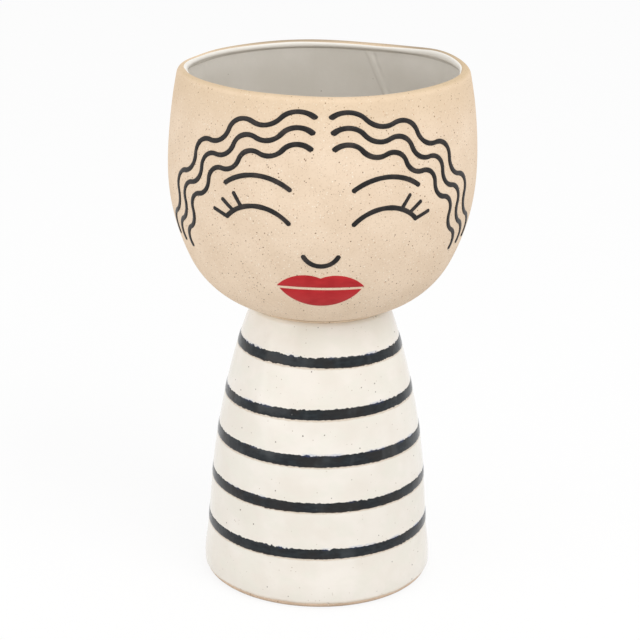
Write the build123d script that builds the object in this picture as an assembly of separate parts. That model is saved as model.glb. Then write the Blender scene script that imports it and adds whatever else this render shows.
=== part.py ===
from build123d import *

import os
from math import asin, cos, degrees, hypot, radians, sin, sqrt, tan

# Head planter: a stoneware bowl, drawn on as a head, joined with slip to a striped hollow stand.
# Millimetres, +Z up, face towards -Y, origin on the table under the middle of the stand.

# Bowl
BOWL_DIAMETER = 140.0  # across the belly
BOWL_HEIGHT = 115.5  # underside to the top of the lip
SIDE_RADIUS = 100.0  # lower side, just under the belly
SIDE_SWEEP = 25.0  # degrees of that arc
KNUCKLE_RADIUS = 43.0  # where the side turns into the bottom
KNUCKLE_SWEEP = 41.0  # degrees of that arc
UPPER_RADIUS = 212.0  # belly to lip, leaning in
BOWL_WALL = 5.0
LIP_ROUND = 3.0  # outer rounding of the lip
BEAD_RADIUS = 1.5  # bead rolled along the lip's inner edge
BEAD_BULGE = 0.7  # how far the bead stands out from the inner wall

# Stand
STAND_HEIGHT = 126.8  # table to the bowl's underside, on the axis
FOOT_DIAMETER = 106.8  # clay, on the table before the corner is rounded
NECK_DIAMETER = 62.6  # clay, where the stand meets the bowl
LOWER_TAPER = 4.3  # degrees from upright
SHOULDER_START = 44.0  # above this height the side curves in to the neck
STAND_WALL = 5.5
FOOT_CORNER = 3.0  # outer rounding of the bare foot ring
FOOT_CHAMFER = 0.6  # inner edge of the foot ring

# Joint
SLIP_THICKNESS = 0.8  # layer of joining slip between bowl and stand
SLIP_SQUEEZE = 0.6  # how far the slip stands out of the joint on both sides

# Glaze
LINER_GLAZE = 0.5  # white, inside the bowl
STAND_GLAZE = 0.5  # white, outside the stand
BARE_EDGE = 0.2  # bare clay between the foot's rounding and the glaze

# Stripes
STRIPE_COUNT = 5
STRIPE_WIDTH = 5.0
LOWEST_STRIPE = 26.8  # height of its middle
TOP_STRIPE_DROP = 17.6  # neck to the middle of the top stripe
STRIPE_DEPTH = 0.25  # into the white glaze
STRIPE_PROUD = 0.1  # above the white glaze

# Drawn face, as raised lines of slip on the bowl
LINE_WIDTH = 2.2
LINE_HEIGHT = 0.4
MOUTH_HEIGHT = 30.0  # bowl's underside to the parting of the lips
MOUTH_WIDTH = 38.0
UPPER_LIP = 6.6
LOWER_LIP = 9.0
LIP_PARTING = 1.2  # bare line between the lips
BOW_DIP = 1.8  # notch in the middle of the upper lip
NOSE_ABOVE_MOUTH = 16.0
NOSE_WIDTH = 15.0
NOSE_CUP = 4.5
EYE_ABOVE_NOSE = 15.0
EYE_TURN = 23.6  # degrees from the front to the middle of an eye
EYE_WIDTH = 29.0
LID_ARCH = 6.5
LASH_COUNT = 3
LASH_LENGTH = 7.0
LASH_WIDTH = 1.8
LASH_PITCH = 5.0  # along the lid
LASH_RISE = 20.0  # degrees above level, outermost lash
LASH_SPREAD = 18.0  # degrees from one lash to the next
BROW_ABOVE_EYE = 15.0
BROW_WIDTH = 30.0
BROW_ARCH = 5.0

# Hair: wavy strands that part at the front and fall over both temples
STRAND_COUNT = 3
STRAND_PITCH = 6.8  # from one strand to the next
HAIR_GAP = 6.0  # from the end of a brow to the line of the nearest strand
HAIR_SWEEP = 80.0  # degrees that a strand turns through
HAIR_TURN = 42.0  # degrees from the front to the middle of a temple
PARTING_TURN = 5.0  # degrees from the front to where a strand starts
WAVE_COUNT = 9  # half waves in a strand
WAVE_ANGLE = 45.0  # degrees, how steeply a wave crosses its sweep

# Bowl outline: arcs that run on from each other, belly to bottom and belly to lip
BOWL_RADIUS = BOWL_DIAMETER / 2
KNUCKLE_END = SIDE_SWEEP + KNUCKLE_SWEEP
BOTTOM_SWEEP = 90 - KNUCKLE_END
KNUCKLE_X = BOWL_RADIUS - SIDE_RADIUS * (1 - cos(radians(SIDE_SWEEP)))
BOTTOM_X = KNUCKLE_X - KNUCKLE_RADIUS * (cos(radians(SIDE_SWEEP)) - cos(radians(KNUCKLE_END)))
BOTTOM_RADIUS = BOTTOM_X / sin(radians(BOTTOM_SWEEP))
BELLY_RISE = (
    SIDE_RADIUS * sin(radians(SIDE_SWEEP))
    + KNUCKLE_RADIUS * (sin(radians(KNUCKLE_END)) - sin(radians(SIDE_SWEEP)))
    + BOTTOM_RADIUS * (1 - cos(radians(BOTTOM_SWEEP)))
)

# Heights and places that follow
OVERALL_HEIGHT = STAND_HEIGHT + BOWL_HEIGHT
BELLY_Z = STAND_HEIGHT + BELLY_RISE
LIP_Z = OVERALL_HEIGHT - LIP_ROUND
LIP_SWEEP = degrees(asin((OVERALL_HEIGHT - BELLY_Z) / UPPER_RADIUS))
BEAD_CREASE = 2 * LINER_GLAZE  # hollow under the bead, which the glaze half fills
BEAD_Z = OVERALL_HEIGHT - BEAD_RADIUS
UPPER_CENTRE = BOWL_RADIUS - UPPER_RADIUS
INNER_X = UPPER_CENTRE + sqrt((UPPER_RADIUS - BOWL_WALL) ** 2 - (BEAD_Z - BELLY_Z) ** 2)
BEAD_X = INNER_X + BEAD_RADIUS - BEAD_BULGE
NECK_RADIUS = NECK_DIAMETER / 2
NECK_Z = STAND_HEIGHT + BOTTOM_RADIUS - sqrt(BOTTOM_RADIUS**2 - NECK_RADIUS**2)
GLAZE_LINE = FOOT_CORNER + BARE_EDGE
STRIPE_PITCH = (NECK_Z - TOP_STRIPE_DROP - LOWEST_STRIPE) / (STRIPE_COUNT - 1)
MOUTH_Z = STAND_HEIGHT + MOUTH_HEIGHT
NOSE_Z = MOUTH_Z + NOSE_ABOVE_MOUTH
EYE_Z = NOSE_Z + EYE_ABOVE_NOSE
BROW_Z = EYE_Z + BROW_ABOVE_EYE
RUN_ON = 4 * max(BOWL_WALL, STAND_WALL)  # sections run on this far past where they are trimmed
CLEAR = 2 * OVERALL_HEIGHT  # larger than anything that it cuts


def half_plane(low, high):
    """The side of the section plane with positive radius, between two heights."""
    return Pos(0, low) * Rectangle(CLEAR, high - low, align=Align.MIN)


def whole_face(edges):
    """A full cross-section from the edges of its right half, which start and end on the axis."""
    right = Wire(edges)
    return make_face([*right.edges(), *mirror(right, about=Plane.YZ).edges()])


def grown(section, amount):
    """A section with its outline moved out by an amount, or in by a negative one."""
    return offset(section, amount, kind=Kind.INTERSECTION)


def clean_arc(edge):
    """The same edge, as an exact spline if it is an arc that reaches round to the axis.

    Such an arc would turn into a torus that crosses itself, which no later cut can use.
    """
    if edge.geom_type == GeomType.CIRCLE and edge.arc_center.X < edge.radius:
        return edge.transform_geometry(Matrix())
    return edge


def turned(section):
    """A section in radius and height, turned about the axis, with its seam at the back."""
    outline = make_face([clean_arc(edge) for edge in section.face().outer_wire().edges()])
    return Rot(0, 0, 90) * revolve(Plane.XZ * outline, Axis.Z, 360)


def bowl_section():
    """The bowl filled solid, and open upwards: its outline runs straight on past the lip."""
    belly = (BOWL_RADIUS, BELLY_Z)
    side = JernArc(belly, (0, -1), SIDE_RADIUS, -SIDE_SWEEP)
    knuckle = JernArc(side @ 1, side % 1, KNUCKLE_RADIUS, -KNUCKLE_SWEEP)
    bottom = JernArc(knuckle @ 1, knuckle % 1, BOTTOM_RADIUS, -BOTTOM_SWEEP)
    upper = JernArc(belly, (0, 1), UPPER_RADIUS, LIP_SWEEP)
    past_lip = Line(upper @ 1, upper @ 1 + (upper % 1) * RUN_ON)
    top = Line(past_lip @ 1, (0, (past_lip @ 1).Y))
    return whole_face([bottom, knuckle, side, upper, past_lip, top])


def stand_section():
    """The stand filled solid: it runs on below the table and up into the bowl."""
    upwards = Vector(-tan(radians(LOWER_TAPER)), 1)
    foot = Vector(FOOT_DIAMETER / 2, 0)
    below = foot - upwards * RUN_ON
    shoulder = foot + upwards * SHOULDER_START
    curve = TangentArc(shoulder, (NECK_RADIUS, NECK_Z), tangent=upwards)
    above = Line(curve @ 1, curve @ 1 + (curve % 1) * RUN_ON)
    under = Line((0, below.Y), below)
    over = Line(above @ 1, (0, (above @ 1).Y))
    return whole_face([under, Line(below, shoulder), curve, above, over])


def beaded(wall, coat):
    """A wall with the bead along its lip, both as thick as they are under a coat of glaze."""
    section = wall + Pos(BEAD_X, BEAD_Z) * Circle(BEAD_RADIUS + coat)
    under_bead = [spot for spot in section.vertices() if spot.X < BEAD_X and spot.Y < BEAD_Z]
    return fillet(max(under_bead, key=lambda spot: spot.Y), BEAD_CREASE - coat)


def bowl_clay(bowl):
    """Section of the clay bowl: an even wall, rounded at the lip, with a bead on its inner edge."""
    wall = (bowl - grown(bowl, -BOWL_WALL)) & half_plane(0, OVERALL_HEIGHT)
    outer_edge = wall.vertices().group_by(Axis.Y)[-1].sort_by(Axis.X)[-1]
    inner_edge = Pos(BEAD_X, BEAD_Z) * Rectangle(CLEAR, CLEAR, align=(Align.MAX, Align.MIN))
    return beaded(fillet(outer_edge, LIP_ROUND) - inner_edge, 0)


def liner_glaze(bowl, clay):
    """Section of the white coat inside the bowl, which ends on the crest of the bead."""
    inner_half = grown(bowl, -BOWL_WALL / 2) - grown(bowl, -BOWL_WALL - LINER_GLAZE)
    past_crest = Pos(BEAD_X, BEAD_Z) * Rectangle(CLEAR, CLEAR, align=Align.MIN)
    return beaded(inner_half & half_plane(0, BEAD_Z), LINER_GLAZE) - clay - past_crest


def stand_clay(stand, bowl):
    """Section of the hollow stand, open below, with a seat for the slip under the bowl."""
    wall = (stand - grown(stand, -STAND_WALL)) & half_plane(0, CLEAR)
    section = wall - grown(bowl, SLIP_THICKNESS)
    outer_corner = section.vertices().group_by(Axis.Y)[0].sort_by(Axis.X)[-1]
    section = fillet(outer_corner, FOOT_CORNER)
    inner_corner = section.vertices().group_by(Axis.Y)[0].sort_by(Axis.X)[0]
    return chamfer(inner_corner, FOOT_CHAMFER)


def slip_ring(stand, bowl):
    """Section of the ring of slip between the stand's top and the bowl's underside."""
    layer = grown(bowl, SLIP_THICKNESS) - bowl
    ring = grown(stand, SLIP_SQUEEZE) - grown(stand, -STAND_WALL - SLIP_SQUEEZE)
    return layer & ring & half_plane(0, BELLY_Z)


def stripe_band(stand, number):
    """Section of one dark stripe, let into the white glaze."""
    low = LOWEST_STRIPE + number * STRIPE_PITCH - STRIPE_WIDTH / 2
    band = grown(stand, STAND_GLAZE + STRIPE_PROUD) - grown(stand, STAND_GLAZE - STRIPE_DEPTH)
    return band & half_plane(low, low + STRIPE_WIDTH)


def stand_glaze(stand, bowl, stripes):
    """Section of the white coat on the stand, with a groove for each stripe."""
    coat = (grown(stand, STAND_GLAZE) - stand) & half_plane(GLAZE_LINE, BELLY_Z)
    coat = coat - grown(bowl, SLIP_THICKNESS)
    for stripe in stripes:
        coat = coat - stripe
    return coat


def line_shell(bowl):
    """The thin shell around the bowl that the raised lines are cut from."""
    return turned((grown(bowl, LINE_HEIGHT) - bowl) & half_plane(STAND_HEIGHT, LIP_Z))


def drawn(sketch, shell, turn=0.0):
    """A flat drawing in width and height, laid on the bowl at an angle from the front."""
    prism = extrude(Plane.XZ * sketch, BOWL_DIAMETER)
    return (Rot(0, 0, turn) * prism) & shell


def arched_line(height, width, arch):
    """A line of even width along an arc over a level chord, or under it if the arch is negative."""
    left = (-width / 2, height)
    right = (width / 2, height)
    return SlotArc(ThreePointArc(left, (0, height + arch), right), LINE_WIDTH)


def closed_eye(side):
    """An arched lid with a fan of lashes at its outer corner. The side is -1 or 1."""
    inner = (-side * EYE_WIDTH / 2, EYE_Z)
    outer = (side * EYE_WIDTH / 2, EYE_Z)
    lid = ThreePointArc(inner, (0, EYE_Z + LID_ARCH), outer)
    eye = SlotArc(lid, LINE_WIDTH)
    for number in range(LASH_COUNT):
        root = lid @ (1 - number * LASH_PITCH / lid.length)
        rise = LASH_RISE + number * LASH_SPREAD
        way = Vector(side * cos(radians(rise)), sin(radians(rise)))
        lash = Rot(0, 0, side * rise) * SlotCenterToCenter(LASH_LENGTH, LASH_WIDTH)
        eye += Pos(root + way * LASH_LENGTH / 2) * lash
    return eye


def brow():
    """A plain arched brow."""
    return arched_line(BROW_Z, BROW_WIDTH, BROW_ARCH)


def nose():
    """A shallow cup for the tip of the nose."""
    return arched_line(NOSE_Z, NOSE_WIDTH, -NOSE_CUP)


def upper_lip():
    """Two soft bumps over a level parting line."""
    half = MOUTH_WIDTH / 2
    low = MOUTH_Z + LIP_PARTING / 2
    dip = (0, low + UPPER_LIP - BOW_DIP)
    bump = ThreePointArc((-half, low), (-half / 2, low + UPPER_LIP - LIP_PARTING / 2), dip)
    return make_face([bump, mirror(bump, about=Plane.YZ), Line((-half, low), (half, low))])


def lower_lip():
    """A full crescent under the parting line."""
    half = MOUTH_WIDTH / 2 - LIP_PARTING
    top = MOUTH_Z - LIP_PARTING / 2
    crescent = ThreePointArc((-half, top), (0, top - LOWER_LIP), (half, top))
    return make_face([crescent, Line((-half, top), (half, top))])


def across_temple(turn):
    """Where an angle from the front falls across the drawing plane of a temple."""
    return BOWL_RADIUS * sin(radians(turn - HAIR_TURN))


def strand(number, side):
    """One wavy strand: arcs that swing to and fro across a sweep from the parting to the temple."""
    middle = Vector(across_temple(PARTING_TURN), MOUTH_Z)
    brow_end = across_temple(EYE_TURN + degrees(asin(BROW_WIDTH / BOWL_DIAMETER)))
    clear_of_brow = hypot(brow_end - middle.X, BROW_Z - MOUTH_Z) + HAIR_GAP
    sweep = clear_of_brow + number * STRAND_PITCH
    points = []
    for count in range(WAVE_COUNT + 1):
        turn = radians(count * HAIR_SWEEP / WAVE_COUNT)
        point = middle + Vector(sin(turn), cos(turn)) * sweep
        points.append(Vector(side * point.X, point.Y))
    lift = radians(WAVE_ANGLE)
    waves = [TangentArc(points[0], points[1], tangent=(side * cos(lift), sin(lift)))]
    for begin, end in zip(points[1:], points[2:]):
        waves.append(TangentArc(begin, end, tangent=waves[-1] % 1))
    return SlotArc(Wire(waves), LINE_WIDTH)


def hair(side, shell):
    """The strands of one temple, as separate raised lines."""
    strands = [drawn(strand(number, side), shell, side * HAIR_TURN) for number in range(STRAND_COUNT)]
    return Compound([solid for line in strands for solid in line.solids()])


def build():
    """Every piece of the planter by name."""
    bowl = bowl_section()
    stand = stand_section()
    clay = bowl_clay(bowl)
    stripes = [stripe_band(stand, number) for number in range(STRIPE_COUNT)]
    shell = line_shell(bowl)
    pieces = {
        "head_bowl": turned(clay),
        "bowl_liner_glaze": turned(liner_glaze(bowl, clay)),
        "hollow_stand": turned(stand_clay(stand, bowl)),
        "slip_joint": turned(slip_ring(stand, bowl)),
        "stand_white_glaze": turned(stand_glaze(stand, bowl, stripes)),
        "nose_line": drawn(nose(), shell),
        "upper_lip": drawn(upper_lip(), shell),
        "lower_lip": drawn(lower_lip(), shell),
    }
    for number, stripe in enumerate(stripes, start=1):
        pieces[f"dark_stripe_{number}"] = turned(stripe)
    for name, side in (("left", -1), ("right", 1)):
        pieces[f"{name}_eye"] = drawn(closed_eye(side), shell, side * EYE_TURN)
        pieces[f"{name}_brow"] = drawn(brow(), shell, side * EYE_TURN)
        pieces[f"{name}_hair"] = hair(side, shell)
    return pieces


os.makedirs("parts", exist_ok=True)
for node, shape in build().items():
    export_step(shape, f"parts/{node}.step")
    print(node, "solids", len(shape.solids()), "volume", round(shape.volume, 1))
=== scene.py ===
# %% [markdown]
# # Head planter
# A stoneware bowl, drawn on as a head, stands on a hollow striped stand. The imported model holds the
# exact clay, glaze and lines. This lesson dresses them: each piece is turned or drawn again as a mesh
# with a potter's unevenness, in the same place, and gets a finish made of shader nodes.

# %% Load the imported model
import cmath
from math import acos, asin, atan2, ceil, copysign, cos, degrees, exp, hypot, pi, radians, sin, sqrt, tan

import bmesh
import bpy
from mathutils import Matrix, Vector, noise


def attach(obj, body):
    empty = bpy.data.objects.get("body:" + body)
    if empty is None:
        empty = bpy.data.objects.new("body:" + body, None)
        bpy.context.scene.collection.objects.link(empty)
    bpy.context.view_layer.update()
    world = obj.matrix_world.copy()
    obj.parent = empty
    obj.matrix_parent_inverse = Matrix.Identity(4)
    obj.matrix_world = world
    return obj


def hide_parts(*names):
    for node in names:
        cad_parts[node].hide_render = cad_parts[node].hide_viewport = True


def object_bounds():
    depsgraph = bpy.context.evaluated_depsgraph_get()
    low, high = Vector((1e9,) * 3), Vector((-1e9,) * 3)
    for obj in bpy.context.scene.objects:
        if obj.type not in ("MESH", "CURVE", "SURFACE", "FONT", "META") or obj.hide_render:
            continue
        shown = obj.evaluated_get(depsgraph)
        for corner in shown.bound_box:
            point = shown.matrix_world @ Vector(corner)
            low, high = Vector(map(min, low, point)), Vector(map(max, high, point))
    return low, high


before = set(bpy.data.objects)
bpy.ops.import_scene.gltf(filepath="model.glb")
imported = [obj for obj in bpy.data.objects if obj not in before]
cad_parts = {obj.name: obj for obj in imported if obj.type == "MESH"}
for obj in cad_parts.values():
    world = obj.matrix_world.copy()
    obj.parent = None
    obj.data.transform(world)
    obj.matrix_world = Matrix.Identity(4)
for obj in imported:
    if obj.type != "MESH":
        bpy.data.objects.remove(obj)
cad_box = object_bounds()
MM = 0.001  # the shapes below are worked out in millimetres
print("nodes in the frame:", len(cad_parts))

# %% [markdown]
# ## Camera
# A long lens a little under a metre away, looking down on the rim, gives the photograph's shallow
# ellipses. Three numbers aim it: its place, how far it looks down, and how far it is tilted.

# %% Set up the camera
CAMERA_PLACE = Vector((0.0, -0.899, 0.4223))
LOOKING_DOWN = radians(18.45)
CAMERA_TILT = radians(0.69)
LENS = 114.43  # mm, for a sensor 36 mm wide

camera = bpy.data.objects.new("camera", bpy.data.cameras.new("camera"))
camera.data.lens = LENS
camera.data.sensor_width = 36.0
aim = Matrix.Rotation(pi / 2 - LOOKING_DOWN, 4, "X") @ Matrix.Rotation(CAMERA_TILT, 4, "Z")
camera.matrix_world = Matrix.Translation(CAMERA_PLACE) @ aim
bpy.context.scene.collection.objects.link(camera)
bpy.context.scene.camera = camera
bpy.context.scene.view_settings.view_transform = "Standard"
print("camera looks down by", round(degrees(LOOKING_DOWN), 2), "degrees")

# %% [markdown]
# ## Sums on sockets
# A shader is a graph of small nodes. Wiring dozens of Math nodes by hand hides what they compute, so
# `Wire` wraps one output and lets Python's own operators add the nodes. Two soft steps, `rise` and
# `beside`, are written here once, because the edges and bands of every finish are made of them.

# %% Write shader sums as Python
class Wire:
    """One output socket. An operator on it adds a Math node and gives that node's output."""

    def __init__(self, finish, socket):
        self.finish = finish
        self.socket = socket

    def math(self, operation, *values):
        return self.finish.node("ShaderNodeMath", {"operation": operation}, dict(enumerate(values)))

    def __add__(self, other):
        return self.math("ADD", self, other)

    def __sub__(self, other):
        return self.math("SUBTRACT", self, other)

    def __rsub__(self, other):
        return self.math("SUBTRACT", other, self)

    def __mul__(self, other):
        return self.math("MULTIPLY", self, other)

    def __truediv__(self, other):
        return self.math("DIVIDE", self, other)

    def __gt__(self, other):
        return self.math("GREATER_THAN", self, other)

    __radd__ = __add__
    __rmul__ = __mul__

    def rise(self, low, high):
        """0 below low and 1 above high, with a soft step between them."""
        soft = {"interpolation_type": "SMOOTHSTEP"}
        return self.finish.node("ShaderNodeMapRange", soft, {0: self, 1: low, 2: high})

    def beside(self, level, below, above):
        """1 at a level, fading to 0 some way below it and some way above it."""
        return self.rise(level - below, level) * (1 - self.rise(level, level + above))

    def output(self, name):
        """Another output of the same node."""
        return Wire(self.finish, self.socket.node.outputs[name])


print("sums on sockets can be written as Python")

# %% [markdown]
# ## Materials
# `Finish` is a material under construction. Its method `node` makes any node from its type, its settings
# and its sockets. The others make what a potter's surfaces need again and again: soft clouds, round specks,
# a bump, and the shader that closes the material. Lengths are in millimetres.

# %% Build a material node by node
SMALLEST_SPECK = 0.3  # radius of the smallest speck, as a share of the largest one's
SPECK_HEART = 0.7  # share of a speck's radius inside its soft edge


class Finish:
    """A material under construction."""

    def __init__(self, name):
        self.material = bpy.data.materials.new(name)
        self.material.use_nodes = True
        self.tree = self.material.node_tree
        self.tree.nodes.clear()
        self.place = self.node("ShaderNodeTexCoord", out="Object")

    def node(self, kind, settings=None, sockets=None, out=0):
        """Any node: its settings are set first, then its sockets are linked or given their values."""
        node = self.tree.nodes.new(kind)
        for name, value in (settings or {}).items():
            setattr(node, name, value)
        for key, value in (sockets or {}).items():
            if isinstance(value, Wire):
                self.tree.links.new(value.socket, node.inputs[key])
            else:
                node.inputs[key].default_value = value
        return Wire(self, node.outputs[out]) if node.outputs else None

    def mix(self, share, first, second):
        """A colour between two colours."""
        return self.node("ShaderNodeMix", {"data_type": "RGBA"}, {0: share, 6: first, 7: second}, 2)

    def axis(self, name):
        """How far along an axis a point lies, in mm."""
        return self.node("ShaderNodeSeparateXYZ", None, {0: self.place}, name) * (1 / MM)

    def cloud(self, size, detail=2.0, stretch=(1, 1, 1)):
        """Soft noise from 0 to 1, with features about size mm across."""
        scaled = self.node("ShaderNodeMapping", None, {"Vector": self.place, "Scale": stretch})
        sockets = {"Vector": scaled, "Scale": 1 / (size * MM), "Detail": detail}
        return self.node("ShaderNodeTexNoise", None, sockets)

    def specks(self, spacing, radius, share):
        """1 inside scattered round specks up to radius mm, 0 elsewhere."""
        cells = self.node("ShaderNodeTexVoronoi", None, {"Vector": self.place, "Scale": 1 / (spacing * MM)})
        chance = self.node("ShaderNodeSeparateColor", None, {0: cells.output("Color")})
        size = chance.output("Green") * (1 - SMALLEST_SPECK) + SMALLEST_SPECK
        inside = 1 - (cells * spacing / (size * radius)).rise(SPECK_HEART, 1.0)
        return inside * (chance > 1 - share)

    def bump(self, height, depth, strength=1.0):
        """A normal from a height that runs from 0 to 1, over depth mm."""
        sockets = {"Height": height, "Distance": depth * MM, "Strength": strength}
        return self.node("ShaderNodeBump", None, sockets)

    def surface(self, **sockets):
        """Closes the material with one principled shader. Underscores in socket names are spaces."""
        named = {name.replace("_", " "): value for name, value in sockets.items()}
        shader = self.node("ShaderNodeBsdfPrincipled", None, named)
        self.node("ShaderNodeOutputMaterial", None, {"Surface": shader})
        print(self.material.name, "has", len(self.tree.nodes), "nodes")
        return self.material


print("a material can be built from clouds, specks and bumps")

# %% [markdown]
# ## Colours
# A colour is easiest to pick as a screen shows it, from 0 to 255. Shaders count in linear light, so one
# function turns the first into the second, and every colour below goes through it.

# %% Turn screen colours into linear ones
def colour(red, green, blue):
    """A colour as a screen shows it, from 0 to 255, in the linear values that shaders use."""
    shares = [value / 255 for value in (red, green, blue)]
    return (*[s / 12.92 if s <= 0.04045 else ((s + 0.055) / 1.055) ** 2.4 for s in shares], 1.0)


print("half white on a screen is", round(colour(128, 128, 128)[0], 3), "in linear light")

# %% [markdown]
# ## Floor
# The planter stands on a wide white floor in soft light. The floor and the world look white to the
# camera and in reflections through Light Path, so the lamps can stay at a plain level. A share of the
# floor's own shading is kept, which holds the soft shadow under the foot. To the planter the floor is a
# pale grey, so that the underside of the bowl is a little darker than its side.

# %% Lay the floor
FLOOR_HALF = 6.0  # m
FLOOR_SHADOW = 0.15  # share of the floor's own shading that the camera sees
FLOOR_BOUNCE = 0.7  # share of the light that the floor throws back onto the planter


def white_to_the_eye(tree_owner):
    """1 for rays that come from the camera, a reflection or through glass, and 0 for light."""
    path = tree_owner.node("ShaderNodeLightPath", out="Is Camera Ray")
    either = path.math("MAXIMUM", path, path.output("Is Glossy Ray"))
    return either.math("MAXIMUM", either, path.output("Is Transmission Ray"))


floor_finish = Finish("studio_floor")
grain = floor_finish.cloud(40.0)
paper = floor_finish.mix(grain, colour(249, 249, 249), colour(252, 252, 252))
seen = white_to_the_eye(floor_finish)
grey = (FLOOR_BOUNCE, FLOOR_BOUNCE, FLOOR_BOUNCE, 1.0)
lit = floor_finish.node("ShaderNodeBsdfDiffuse", None, {"Color": floor_finish.mix(seen, grey, paper)})
glow = floor_finish.node("ShaderNodeEmission", None, {"Color": (1, 1, 1, 1), "Strength": 1.0})
unlit = seen * (1 - FLOOR_SHADOW)
shown = floor_finish.node("ShaderNodeMixShader", None, {0: unlit, 1: lit, 2: glow})
floor_finish.node("ShaderNodeOutputMaterial", None, {"Surface": shown})

corners = [(x * FLOOR_HALF, y * FLOOR_HALF, 0) for x, y in ((-1, -1), (1, -1), (1, 1), (-1, 1))]
floor_mesh = bpy.data.meshes.new("studio_floor")
floor_mesh.from_pydata(corners, [], [(0, 1, 2, 3)])
floor_mesh.materials.append(floor_finish.material)
floor = bpy.data.objects.new("studio_floor", floor_mesh)
bpy.context.scene.collection.objects.link(floor)
print("floor is", 2 * FLOOR_HALF, "m wide")

# %% [markdown]
# ## Sky
# The world lights the planter evenly from all sides, as a studio with white walls does. It has nodes like
# a material, so `Sky` borrows the same way to make them. The eye sees it at full white, and the planter
# gets a little less light than that.

# %% Light the sky
WORLD_LIGHT = 0.8  # brightness of the sky as light


class Sky(Finish):
    """The world's own nodes, with the same way to make them."""

    def __init__(self, world):
        world.use_nodes = True
        self.tree = world.node_tree
        self.tree.nodes.clear()


world = bpy.data.worlds.new("studio")
bpy.context.scene.world = world
sky = Sky(world)
level = white_to_the_eye(sky) * (1 - WORLD_LIGHT) + WORLD_LIGHT
sky_light = sky.node("ShaderNodeBackground", None, {"Color": (1, 1, 1, 1), "Strength": level})
sky.node("ShaderNodeOutputWorld", None, {"Surface": sky_light})
print("sky has", len(sky.tree.nodes), "nodes")

# %% [markdown]
# ## Softboxes
# An even sky alone makes a pot look flat. A bright softbox high on the right models the bowl and reaches
# into it, and a weak one on the left keeps that side open. Both are large, so the glaze shows soft streaks.

# %% Hang the softboxes
SOFTBOXES = {  # place and width in m, power in W
    "left_softbox": ((-1.05, -0.65, 0.45), 1.0, 3.7),
    "right_softbox": ((0.75, -0.8, 1.22), 0.9, 8.0),
}


def softbox(name, place, target, width, power):
    """A square lamp that faces a point."""
    lamp = bpy.data.lights.new(name, "AREA")
    lamp.size = width
    lamp.energy = power
    box = bpy.data.objects.new(name, lamp)
    box.location = place
    box.rotation_euler = (Vector(target) - Vector(place)).to_track_quat("-Z", "Y").to_euler()
    bpy.context.scene.collection.objects.link(box)


planter_middle = (cad_box[0] + cad_box[1]) / 2
for name, (place, width, power) in SOFTBOXES.items():
    softbox(name, place, planter_middle, width, power)
print(len(SOFTBOXES), "softboxes hung")

# %% [markdown]
# ## Outlines
# A thrown pot is a surface of revolution. Its outline is a chain of arcs that run on from each other,
# so a wall or a coat of glaze is the same arcs with other radii. Each arc is kept as its centre, its
# radius and two angles, which also gives the wall's slope where the drawing is laid on it later.

# %% Work out the bowl's arcs
BELLY = 70.0  # mm, radius of the bowl's widest ring
STAND_TOP = 126.8  # underside of the bowl, on the axis
PLANTER_TOP = 242.3  # top of the clay lip
SIDE_ARC, SIDE_TURN = 100.0, 25.0
KNUCKLE_ARC, KNUCKLE_TURN = 43.0, 41.0
UPPER_ARC = 212.0
BOWL_WALL = 5.0
LIP_ARC = 3.0  # outer rounding of the lip


def polar(centre, radius, angle):
    return (centre[0] + radius * cos(angle), centre[1] + radius * sin(angle))


def arc(centre, radius, begin, end, spacing=2.5):
    """Points along an arc, no more than about spacing mm or 9 degrees apart."""
    count = max(2, ceil(abs(end - begin) * max(radius / spacing, 20 / pi)))
    return [polar(centre, radius, begin + (end - begin) * k / count) for k in range(count + 1)]


SIDE_END = -radians(SIDE_TURN)
KNUCKLE_END = -radians(SIDE_TURN + KNUCKLE_TURN)
knuckle_reach = BELLY - SIDE_ARC + (SIDE_ARC - KNUCKLE_ARC) * cos(SIDE_END)
BOTTOM_ARC = KNUCKLE_ARC + knuckle_reach / cos(KNUCKLE_END)
bottom_mid = (0.0, STAND_TOP + BOTTOM_ARC)
knuckle_mid = polar(bottom_mid, BOTTOM_ARC - KNUCKLE_ARC, KNUCKLE_END)
side_mid = polar(knuckle_mid, KNUCKLE_ARC - SIDE_ARC, SIDE_END)
upper_mid = (BELLY - UPPER_ARC, side_mid[1])


def upper_turn(inset, height):
    """The angle on the upper arc, moved in by inset mm, at which it reaches a height."""
    return asin((height - upper_mid[1]) / (UPPER_ARC - inset))


LIP_TURN = upper_turn(LIP_ARC, PLANTER_TOP - LIP_ARC)
lip_mid = polar(upper_mid, UPPER_ARC - LIP_ARC, LIP_TURN)
WALL_ARCS = [
    (bottom_mid, BOTTOM_ARC, -pi / 2, KNUCKLE_END),
    (knuckle_mid, KNUCKLE_ARC, KNUCKLE_END, SIDE_END),
    (side_mid, SIDE_ARC, SIDE_END, 0.0),
    (upper_mid, UPPER_ARC, 0.0, LIP_TURN),
]
print("belly at", round(side_mid[1], 2), "mm, lip turned in by", round(degrees(LIP_TURN), 2), "degrees")

# %% [markdown]
# ## Walls
# The outer face, the inner face and both faces of a coat are the same four arcs at another distance. One
# function gives such a wall as points from the axis up, which is simpler than offsetting a mesh.

# %% Make walls from the arcs
def joined(*runs):
    """Runs of points in a row, without the point that two runs share."""
    line = list(runs[0])
    for run in runs[1:]:
        line += run[1:]
    return line


def bowl_wall(inset, top_turn):
    """The bowl's wall from the axis up, moved in by inset mm, as far as an angle on the upper arc."""
    ends = [end for _, _, _, end in WALL_ARCS[:-1]] + [top_turn]
    runs = [arc(mid, size - inset, begin, end) for (mid, size, begin, _), end in zip(WALL_ARCS, ends)]
    line = joined(*runs)
    return [(0.0, line[0][1])] + line[1:]


print("outer wall has", len(bowl_wall(0.0, LIP_TURN)), "points")

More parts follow.
